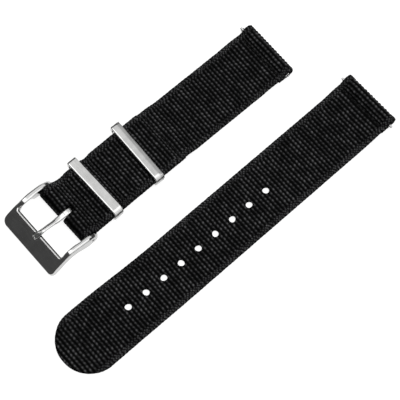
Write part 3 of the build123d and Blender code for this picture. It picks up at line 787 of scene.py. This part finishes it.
def frame_top(x):
    x = np.asarray(x, float)
    front = 1.5 + SLOPE * (x - FX) - 0.012 * smooth((x + 45.1) / 0.16)
    end = 1.6 + 2.78 * np.clip(1 - (np.clip(x + 35.6, 0, None) / (END_X + 35.6)) ** 2, 0, 1) ** (1 / 1.5)
    return np.where(x < CX, front, np.where(x < -35.6, crown(x), end))


def frame_low(x):
    x = np.asarray(x, float)
    knob = np.sqrt(np.clip(1 - ((x - AX) / (END_X - AX)) ** 2, 0, 1))
    return np.where(x < AX, belly(x), 1.58 - 1.55 * knob)


def buckle_mesh():
    """One section carried from the end of one arm round the front bar to the end of the other. Each station joins a point on the window's line to one on the outer line."""
    front = FX - 0.08
    # the drop of the top face beside the window's front edge: a narrow land, then a steeper chamfer
    bevel = np.array([0, 0.02, 0.05, 0.12, 0.22, 0.32, 0.42, 0.50, 0.56, 0.62, 0.68, 0.74, 0.80, 0.86, 0.92])
    fine = np.linspace(0, 0.92, 400)
    steep = np.interp(fine, [0, 0.50, 0.58, 0.80, 0.90], [1.012, 1.012, 0.52, 0.52, 0.0])
    total = np.cumsum(steep[::-1])[::-1] * (fine[1] - fine[0])
    fall = np.interp(bevel, fine, total) + np.r_[0.10, 0.05, 0.012, np.zeros(len(bevel) - 3)]
    # the edges of the arms: a shallow shoulder, then a tight corner
    b = np.radians([0, 12, 24, 36, 46, 56])
    fine = np.linspace(0.10, 0.62, 300)
    steep = np.tan(np.radians(np.interp(fine, [0.10, 0.50, 0.53, 0.62], [34, 19, 16, 0])))
    total = np.cumsum(steep[::-1])[::-1] * (fine[1] - fine[0])
    edge_e = np.r_[0.227 * (1 - np.cos(b[:-1])), 0.10, 0.17, 0.24, 0.31, 0.38, 0.44, 0.49, 0.53, 0.57, 0.62]
    edge_d = np.r_[total[0] + 0.227 * (math.sin(b[-1]) - np.sin(b[:-1])), np.interp(edge_e[5:], fine, total)]
    sides = []
    for corner, xs, ws, win in ((2.8, [-48.7, -46, -44, -41, -38, -36, -33, -30], [11.78, 11.85, 12.04, 12.30, 12.30, 12.14, 11.95, 11.7], 9.98), (1.5, [-48.7, -42, -38, -33, -30], [12.05, 12.0, 11.86, 11.85, 11.75], 9.84)):
        stations = []
        for y in np.linspace(0, win - 0.5, 44)[:-1]:
            stations.append(((BX, y), (front, y * (ws[0] - corner) / (win - 0.5))))
        arc_len, side_len = corner * math.pi / 2, 2.2
        for f in np.linspace(0, 1, 24):
            b = f * math.pi / 2
            inner = (BX + 0.5 - 0.5 * math.cos(b), win - 0.5 + 0.5 * math.sin(b))
            t = f * (arc_len + side_len)
            b = min(t / corner, math.pi / 2)
            xo = front + corner - corner * math.cos(b) + max(0.0, t - arc_len)
            stations.append((inner, (xo, float(np.interp(xo, xs, ws)) - corner * (1 - math.sin(b)))))
        lag = BX + 0.5 - (front + corner + side_len)
        for x in np.r_[np.linspace(BX + 0.5, AX, 84)[1:], AX + (END_X - AX - 0.003) * np.sin(np.linspace(0, math.pi / 2, 22)[1:])]:
            xo = x - lag * (1 - float(smooth((x - BX - 0.5) / 5.0)))
            over = max(0.0, xo - (END_X - 1.25))
            stations.append(((x, win + (HALF_WIN - win) * float(smooth((x + 38.0) / 2.6))), (xo, float(np.interp(xo, xs, ws)) - (1.25 - math.sqrt(max(0.0, 1.25 ** 2 - over ** 2))))))
        half = []
        for I, O in stations:
            I, O = np.array(I), np.array(O)
            arm = float(smooth((I[0] - (CX - 1.1)) / 1.3))
            arm_o = float(smooth((O[0] - (CX - 2.2)) / 2.4))
            rear = float(smooth((I[0] + 37.2) / 2.4))
            lean = float(np.interp(O[0], [-48.8, -46.6, -43.0, -40.0, -36.0, -33.0], [0.0, 0.16, 0.15, 0.11, 0.05, 0.02]))
            n = np.array([0.0, -1.0]) * float(smooth((O[1] - 10.2) / 1.6)) * lean
            zt, zl = float(frame_top(min(O[0], END_X - 0.003))), float(frame_low(min(O[0], END_X - 0.003)))
            tall = float(frame_top(I[0])) - float(frame_low(I[0]))
            room = min(1.0, tall * 0.7, (zt - zl) * 0.7)
            top_o = O + n * zt
            W = np.linalg.norm(top_o - I)
            d = (top_o - I) / W
            ri, ro = 0.9 - 0.35 * rear, 0.25 + 0.80 * arm_o
            e_in = (1 - arm) * bevel + arm * edge_e * ri * room
            d_in = (1 - arm) * fall + arm * edge_d * ri * room
            e_out, d_out = W - edge_e[::-1] * ro * room, edge_d[::-1] * ro * room
            mid = np.linspace(e_in[-1], e_out[0], 10)[1:-1]
            e = np.r_[e_in, mid, e_out]
            drop = np.r_[d_in, np.zeros(len(mid)), d_out]
            drop = drop + arm * 0.05 * room * (2 * e / W - 1) ** 2
            pts = I + np.outer(e, d)
            z = frame_top(np.minimum(pts[:, 0], END_X - 0.003)) - drop
            low = 0.12 * room
            base = O + n * zl
            back = base - I
            back_len = np.linalg.norm(back)
            under = arm * min(0.27 * tall, 0.5 * back_len) * (1 - float(smooth((I[0] + 38.4) / 1.8)))     # the arm's inner wall leans outwards below
            foot = I + back / back_len * under
            sec = [(*foot, float(frame_low(foot[0])) + low)]
            sec += [(*p, v) for p, v in zip(pts, z)]
            z1, z0 = z[-1], zl + low
            for f in np.linspace(0, 1, 6)[1:]:
                v = z1 + (z0 - z1) * f
                q = O + n * v
                sec.append((q[0], q[1], v))
            for f in np.linspace(1 - low / back_len, (under + low) / back_len, 9):
                q = I + back * f
                sec.append((q[0], q[1], float(frame_low(min(q[0], END_X - 0.003)))))
            half.append(sec)
        sides.append(np.array(half))
    other = sides[1][1:].copy()
    other[..., 1] *= -1
    grid = np.concatenate([other[::-1], sides[0]])
    ns, nc = grid.shape[:2]
    verts = grid.reshape(-1, 3)
    quads = []
    for i in range(ns - 1):
        for j in range(nc):
            a, b = i * nc + j, i * nc + (j + 1) % nc
            quads.append((a, a + nc, b + nc, b))
    tris = []
    for ring, flip in ((0, False), (ns - 1, True)):
        c = len(verts)
        verts = np.r_[verts, grid[ring].mean(0)[None]]
        for j in range(nc):
            a, b = ring * nc + j, ring * nc + (j + 1) % nc
            tris.append((b, a, c) if flip else (a, b, c))
    return mesh_object("buckle_body", askew(verts) * MM, quads, tris)


buckle = buckle_mesh()
TONGUE_YAW, TONGUE_Y = math.radians(-2.3), 16.03
tip_x = -44.55
a = np.linspace(math.pi / 2, 1.5 * math.pi, 24)
rest = np.r_[np.c_[tip_x + 0.4 + 1.12 * np.cos(a), 1.12 * np.sin(a)], [[BX + 1.5, -1.12], [BX + 1.5, 1.12]]]
rest_cut = prism_mesh("rest_cut", rest, 0.0, 6.0)
v = np.zeros(len(rest_cut.data.vertices) * 3, np.float32)
rest_cut.data.vertices.foreach_get("co", v)
v = v.reshape(-1, 3) / MM
low_side = v[:, 2] < 1.0
v[low_side, 2] = 1.5 + SLOPE * (v[low_side, 0] - FX) - 0.78
v = askew(v, TONGUE_YAW, TONGUE_Y) * MM
rest_cut.data.vertices.foreach_set("co", v.astype(np.float32).ravel())
rest_cut.data.update()
pin_cut = prism_mesh("pin_cut", [(AX + 0.5 * math.cos(a), AZ + 0.5 * math.sin(a)) for a in np.linspace(0, 2 * math.pi, 29)[:-1]], SHORT_Y - 14, SHORT_Y + 14, 1)
cut_with(buckle, [rest_cut, pin_cut])
buckle.data.set_sharp_from_angle(angle=math.radians(33))
buckle.data.materials.clear()
buckle.data.materials.append(POLISHED)
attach(buckle, "buckle")
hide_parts("buckle_frame")


def strip_section(width, thick, n=28, power=3.6):
    """A rounded rectangle, width across and thick high, as n points."""
    a = np.linspace(0, 2 * math.pi, n, endpoint=False)
    c, s_ = np.cos(a), np.sin(a)
    return np.sign(c) * np.abs(c) ** (2 / power) * width / 2, np.sign(s_) * np.abs(s_) ** (2 / power) * thick / 2


def tongue_mesh():
    mid = [(-44.85, 2.66), (-44.2, 2.86), (-43.0, 3.24), (-41.6, 3.48), (-40.0, 3.46), (-38.4, 3.22), (-37.0, 2.98), (-35.8, 2.93), (-34.6, 3.10), (AX - 1.2, 3.34)]
    mid += [(AX + 1.42 * math.sin(a), AZ + 1.42 * math.cos(a)) for a in np.radians(np.linspace(-14, 228, 60))]
    p = np.array(mid)
    d = np.r_[0, np.cumsum(np.linalg.norm(np.diff(p, axis=0), axis=1))]
    u = np.linspace(0, d[-1], 900)
    x, z = np.interp(u, d, p[:, 0]), np.interp(u, d, p[:, 1])
    k = np.hanning(75)[1:-1]
    k /= k.sum()
    x = np.convolve(np.pad(x, 36, mode="reflect", reflect_type="odd"), k, "valid")
    z = np.convolve(np.pad(z, 36, mode="reflect", reflect_type="odd"), k, "valid")
    pick = np.unique(np.r_[np.linspace(0, 120, 22), np.linspace(120, 899, 140)].astype(int))
    x, z, u = x[pick], z[pick], u[pick]
    tx, tz = np.gradient(x, u), np.gradient(z, u)
    n = np.hypot(tx, tz)
    tx, tz = tx / n, tz / n
    thick = np.interp(x, [-45.2, -43.2, -41.0, -38.0, -35.8, -34.4, -33.2], [0.62, 0.86, 0.98, 1.08, 1.02, 0.74, 0.56])
    far = u > d[-1] * 0.62
    thick = np.where(far, 0.52, thick)
    width = np.interp(x, [-45.2, -44.2, -41.0, -37.0, -33.0], [1.66, 1.78, 1.78, 1.82, 1.70])
    power = np.where(far, 3.0, np.interp(x, [-45.0, -43.4, -41.5, -37.5, -35.5, -33.5], [3.4, 2.8, 2.0, 2.0, 2.3, 2.5]))
    verts, m = [], 40
    for i in range(len(u)):
        tip = math.sqrt(max(0.0, 1 - (1 - min(1.0, (u[i] + 0.02) / 0.85)) ** 2))
        tail = math.sqrt(max(0.0, 1 - (1 - min(1.0, (u[-1] - u[i] + 0.02) / 0.3)) ** 2))
        cw, ct = strip_section(width[i] * (0.10 + 0.90 * tip) * (0.85 + 0.15 * tail), thick[i] * (0.35 + 0.65 * min(1, tip * 1.2)) * (0.35 + 0.65 * tail), m, power[i])
        tw = 0.0 if far[i] else math.radians(float(np.interp(x[i], [-44.8, -43.4, -42.6, -41.4, -37.8, -36.2], [0, 0, 12, 24, 26, 0])))
        cw, ct = cw * math.cos(tw) + ct * math.sin(tw), ct * math.cos(tw) - cw * math.sin(tw)
        verts.append(np.stack([x[i] - tz[i] * ct, cw, z[i] + tx[i] * ct], -1))
    verts = np.array(verts)
    ns = len(verts)
    quads = [(i * m + j, i * m + (j + 1) % m, (i + 1) * m + (j + 1) % m, (i + 1) * m + j) for i in range(ns - 1) for j in range(m)]
    flat = verts.reshape(-1, 3)
    tris = []
    for ring, flip in ((0, True), (ns - 1, False)):
        c = len(flat)
        flat = np.r_[flat, verts[ring].mean(0)[None]]
        tris += [((ring * m + (j + 1) % m, ring * m + j, c) if flip else (ring * m + j, ring * m + (j + 1) % m, c)) for j in range(m)]
    obj = mesh_object("tongue_bar", askew(flat, TONGUE_YAW, TONGUE_Y) * MM, quads, tris)
    obj.data.materials.append(TONGUE)
    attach(obj, "tongue")
    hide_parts("buckle_tongue")
    return obj


tongue_mesh()


def keeper_mesh(name, station, turn, body, old, seed, droop=0.0):
    """A closed band of steel strip with softened edges, its upper corner rounder on the -Y side and its lower bar a little ahead of the upper one."""
    hy, z0, z3 = 11.45, 1.08, 4.60
    path = [(10.5, 4.60), (10.72, 4.592), (10.82, 4.565), (10.92, 4.52), (11.04, 4.46), (11.16, 4.395), (11.28, 4.325), (11.37, 4.265), (11.43, 4.18), (11.45, 4.06)]
    for side, a0, a1 in ((1, 0, -90), (-1, -90, -180)):
        path += [(side * (hy - 1.2) + 1.2 * math.cos(a), z0 + 1.2 + 1.2 * math.sin(a)) for a in np.radians(np.linspace(a0, a1, 18))]
    path += [(-11.45, 3.10), (-11.43, 3.25), (-11.37, 3.40), (-11.28, 3.52), (-11.15, 3.64), (-10.95, 3.81), (-10.7, 4.00), (-10.45, 4.18), (-10.2, 4.33), (-9.95, 4.44), (-9.7, 4.52), (-9.45, 4.565), (-9.2, 4.59), (-8.95, 4.60)]
    p = np.array(path + path[:1])
    d = np.r_[0, np.cumsum(np.linalg.norm(np.diff(p, axis=0), axis=1))]
    fine = np.unique(np.r_[d, np.arange(0, d[-1], 0.5)])
    fine = fine[:-1]
    y, z = np.interp(fine, d, p[:, 0]), np.interp(fine, d, p[:, 1])
    y1, z1 = np.roll(y, -1) - np.roll(y, 1), np.roll(z, -1) - np.roll(z, 1)
    n = np.hypot(y1, z1)
    ny, nz = -z1 / n, y1 / n
    # the inner line follows at the strip's thickness, with its own small corners
    iy = np.clip(y - ny * 0.65, -10.45, 10.45)
    iz = np.clip(z - nz * 0.62, 1.68, 3.99)
    hw = 1.60
    prof = [(-hw, 0.20), (-hw + 0.02, 0.13), (-hw + 0.08, 0.085), (-hw + 0.20, 0.050), (-hw + 0.34, 0.022), (-hw + 0.48, 0.004)]
    prof += [(v, 0.0) for v in np.linspace(-hw + 0.62, hw - 0.30, 8)]
    prof += [(hw - 0.20, 0.008), (hw - 0.09, 0.03), (hw - 0.02, 0.09), (hw, 0.18)]
    inner_prof = [(hw, 0.90), (hw - 0.08, 1.0), (0.0, 1.0), (-hw + 0.08, 1.0), (-hw, 0.90)]
    rows = []
    wob = value_noise(fine, fine * 0, seed, 5.0) * 0.012
    ahead = -(0.35 - 0.25 * np.sign(y)) * smooth((z3 - 0.1 - z) / 2.6)
    top = smooth((z - 4.2) / 0.3)
    for v, q in prof:
        q = q + droop * max(0.0, v - 0.25) * top
        rows.append(np.stack([v + ahead, y - ny * (q + wob), z - nz * (q + wob)], -1))
    for v, q in inner_prof:
        oy, oz = y - ny * 0.2, z - nz * (0.2 + droop * max(0.0, v - 0.25) * top)
        rows.append(np.stack([v + ahead, oy + (iy - oy) * q, oz + (iz - oz) * q], -1))
    g = np.array(rows)
    nr, ns = g.shape[:2]
    quads = [(i * ns + j, ((i + 1) % nr) * ns + j, ((i + 1) % nr) * ns + (j + 1) % ns, i * ns + (j + 1) % ns) for i in range(nr) for j in range(ns)]
    v = g.reshape(-1, 3)
    a = math.radians(turn)
    v = np.c_[L(station) + v[:, 0] * math.cos(a) - v[:, 1] * math.sin(a), SHORT_Y + 0.04 + v[:, 0] * math.sin(a) + v[:, 1] * math.cos(a), v[:, 2]]
    obj = mesh_object(name, v * MM, quads)
    obj.data.set_sharp_from_angle(angle=math.radians(40))
    # the drooping keeper gets the steel with painted shade along the rear of its top
    obj.data.materials.append(KEEPER_PAINTED_SHADE if droop else BRUSHED)
    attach(obj, body)
    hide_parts(old)
    return obj


keeper_mesh("keeper_band_1", -21.85, 0.3, "keeper_1", "keeper_1", 301)
keeper_mesh("keeper_band_2", -5.0, -2.3, "keeper_2", "keeper_2", 302, 0.27)

# ------------------------------------------------------------------ coil springs inside the bars, each in two halves
def half_spring(name, node_name, sign):
    ob = frame["nodes"][node_name]
    c = np.array([(ob.matrix_world @ v.co)[:] for v in ob.data.vertices], float) / MM
    lo, hi = c.min(0), c.max(0)
    mid, r = (lo + hi) / 2, (hi[0] - lo[0]) / 2
    wire = 0.075
    end = hi[1] - wire - 0.02
    length = end - mid[1]
    turns = 11.0
    u = np.linspace(0, 1, int(turns * 18) + 1)
    ph = sign * 2 * math.pi * turns * u
    rad = r - wire - 0.01
    path = np.c_[mid[0] + rad * np.cos(ph), mid[1] + sign * length * u, mid[2] + rad * np.sin(ph)]
    t = np.gradient(path, axis=0)
    t /= np.linalg.norm(t, axis=1)[:, None]
    out = np.c_[np.cos(ph), ph * 0, np.sin(ph)]
    up = np.cross(t, out)
    a = np.linspace(0, 2 * math.pi, 9)[:-1]
    v = (path[:, None] + wire * (np.cos(a)[None, :, None] * out[:, None] + np.sin(a)[None, :, None] * up[:, None])).reshape(-1, 3)
    n, m = len(u), 8
    quads = [(i * m + k, i * m + (k + 1) % m, (i + 1) * m + (k + 1) % m, (i + 1) * m + k) for i in range(n - 1) for k in range(m)]
    tris = []
    for ring, flip in ((0, True), (n - 1, False)):
        c0 = len(v)
        v = np.r_[v, path[ring][None]]
        tris += [((ring * m + (k + 1) % m, ring * m + k, c0) if flip else (ring * m + k, ring * m + (k + 1) % m, c0)) for k in range(m)]
    obj = mesh_object(name, v * MM, quads, tris)
    obj.data.materials.append(SPRING)
    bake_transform(obj)
    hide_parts(node_name)


for bar in ("long", "short"):
    for side, sign in (("a", 1), ("b", -1)):
        half_spring("%s_lug_coil_%s" % (bar, side), "%s_lug_bar_spring" % bar, sign)
for side, sign in (("a", 1), ("b", -1)):
    half_spring("buckle_bar_coil_%s" % side, "buckle_bar_spring", sign)

# ------------------------------------------------------------------ studio: floor, light, camera
rings_, seg = [], 96
profile = [(0.0, 0.0), (0.05, 0.0), (0.12, 0.0), (0.3, 0.0), (0.7, 0.0), (1.3, 0.0)]
profile += [(1.6 + 0.25 * math.sin(a), 0.25 - 0.25 * math.cos(a)) for a in np.linspace(0.1, math.pi / 2, 14)]
profile += [(1.85, 0.30)]
fv, ff = [(0, 0, -0.00006)], []
for r, z in profile[1:]:
    for k in range(seg):
        a = 2 * math.pi * k / seg
        fv.append((r * math.cos(a), r * math.sin(a), z - 0.00006))
tr = [(0, 1 + k, 1 + (k + 1) % seg) for k in range(seg)]
for i in range(len(profile) - 2):
    for k in range(seg):
        a, b = 1 + i * seg + k, 1 + i * seg + (k + 1) % seg
        ff.append((a, a + seg, b + seg, b))
floor = mesh_object("studio_floor", fv, ff, tr)
fmat, fnt, fb = material("pale_studio_floor")
fb.inputs["Base Color"].default_value = (0.4, 0.4, 0.4, 1)
fb.inputs["Roughness"].default_value = 0.9
fb.inputs["Specular IOR Level"].default_value = 0.1
fb.inputs["Emission Color"].default_value = (1, 1, 1, 1)
fb.inputs["Emission Strength"].default_value = 0.80
floor.data.materials.append(fmat)

world = bpy.data.worlds.new("studio_world")
bpy.context.scene.world = world
world.use_nodes = True
bg = world.node_tree.nodes.get("Background")
bg.inputs["Color"].default_value = (1, 1, 1, 1)
bg.inputs["Strength"].default_value = 0.08


def soft_light(name, at, towards, width, height, radiance):
    data = bpy.data.lights.new(name, "AREA")
    data.shape = "RECTANGLE"
    data.size, data.size_y = width, height
    data.energy = radiance * math.pi * width * height
    obj = bpy.data.objects.new(name, data)
    bpy.context.scene.collection.objects.link(obj)
    obj.location = at
    obj.rotation_mode = "QUATERNION"
    obj.rotation_quaternion = (Vector(towards) - Vector(at)).to_track_quat("-Z", "Y")
    return obj


# one large overhead panel in three parts, brighter along its two near sides
soft_light("overhead_softbox", (0.85, 0.625, 1.2), (0.85, 0.625, 0.0), 1.7, 1.35, 1.12)
soft_light("overhead_softbox_front", (0.30, -0.425, 1.2), (0.30, -0.425, 0.0), 1.4, 0.75, 2.2)
soft_light("overhead_softbox_far_front", (0.30, -1.40, 1.2), (0.30, -1.40, 0.0), 1.4, 1.2, 1.5)
soft_light("overhead_softbox_side", (-0.20, 0.625, 1.2), (-0.20, 0.625, 0.0), 0.4, 1.35, 2.6)

scene = bpy.context.scene
scene.view_settings.view_transform = "Standard"
th, el, roll = math.radians(42.628), math.radians(71.313), math.radians(0.785)
r0 = Vector((math.cos(th), -math.sin(th), 0))
u0 = Vector((math.sin(el) * math.sin(th), math.sin(el) * math.cos(th), math.cos(el)))
b0 = Vector((-math.cos(el) * math.sin(th), -math.cos(el) * math.cos(th), math.sin(el)))
right = math.cos(roll) * r0 + math.sin(roll) * u0
up = -math.sin(roll) * r0 + math.cos(roll) * u0
cam_data = bpy.data.cameras.new("camera")
cam_data.lens, cam_data.sensor_width = 130.33, 36.0
cam_data.clip_start, cam_data.clip_end = 0.01, 20.0
cam = bpy.data.objects.new("camera", cam_data)
scene.collection.objects.link(cam)
m = Matrix((right, up, b0)).transposed().to_4x4()
m.translation = (Vector((0.485, -6.805, 0)) + 438.63 * b0) * MM
cam.matrix_world = m
scene.camera = cam
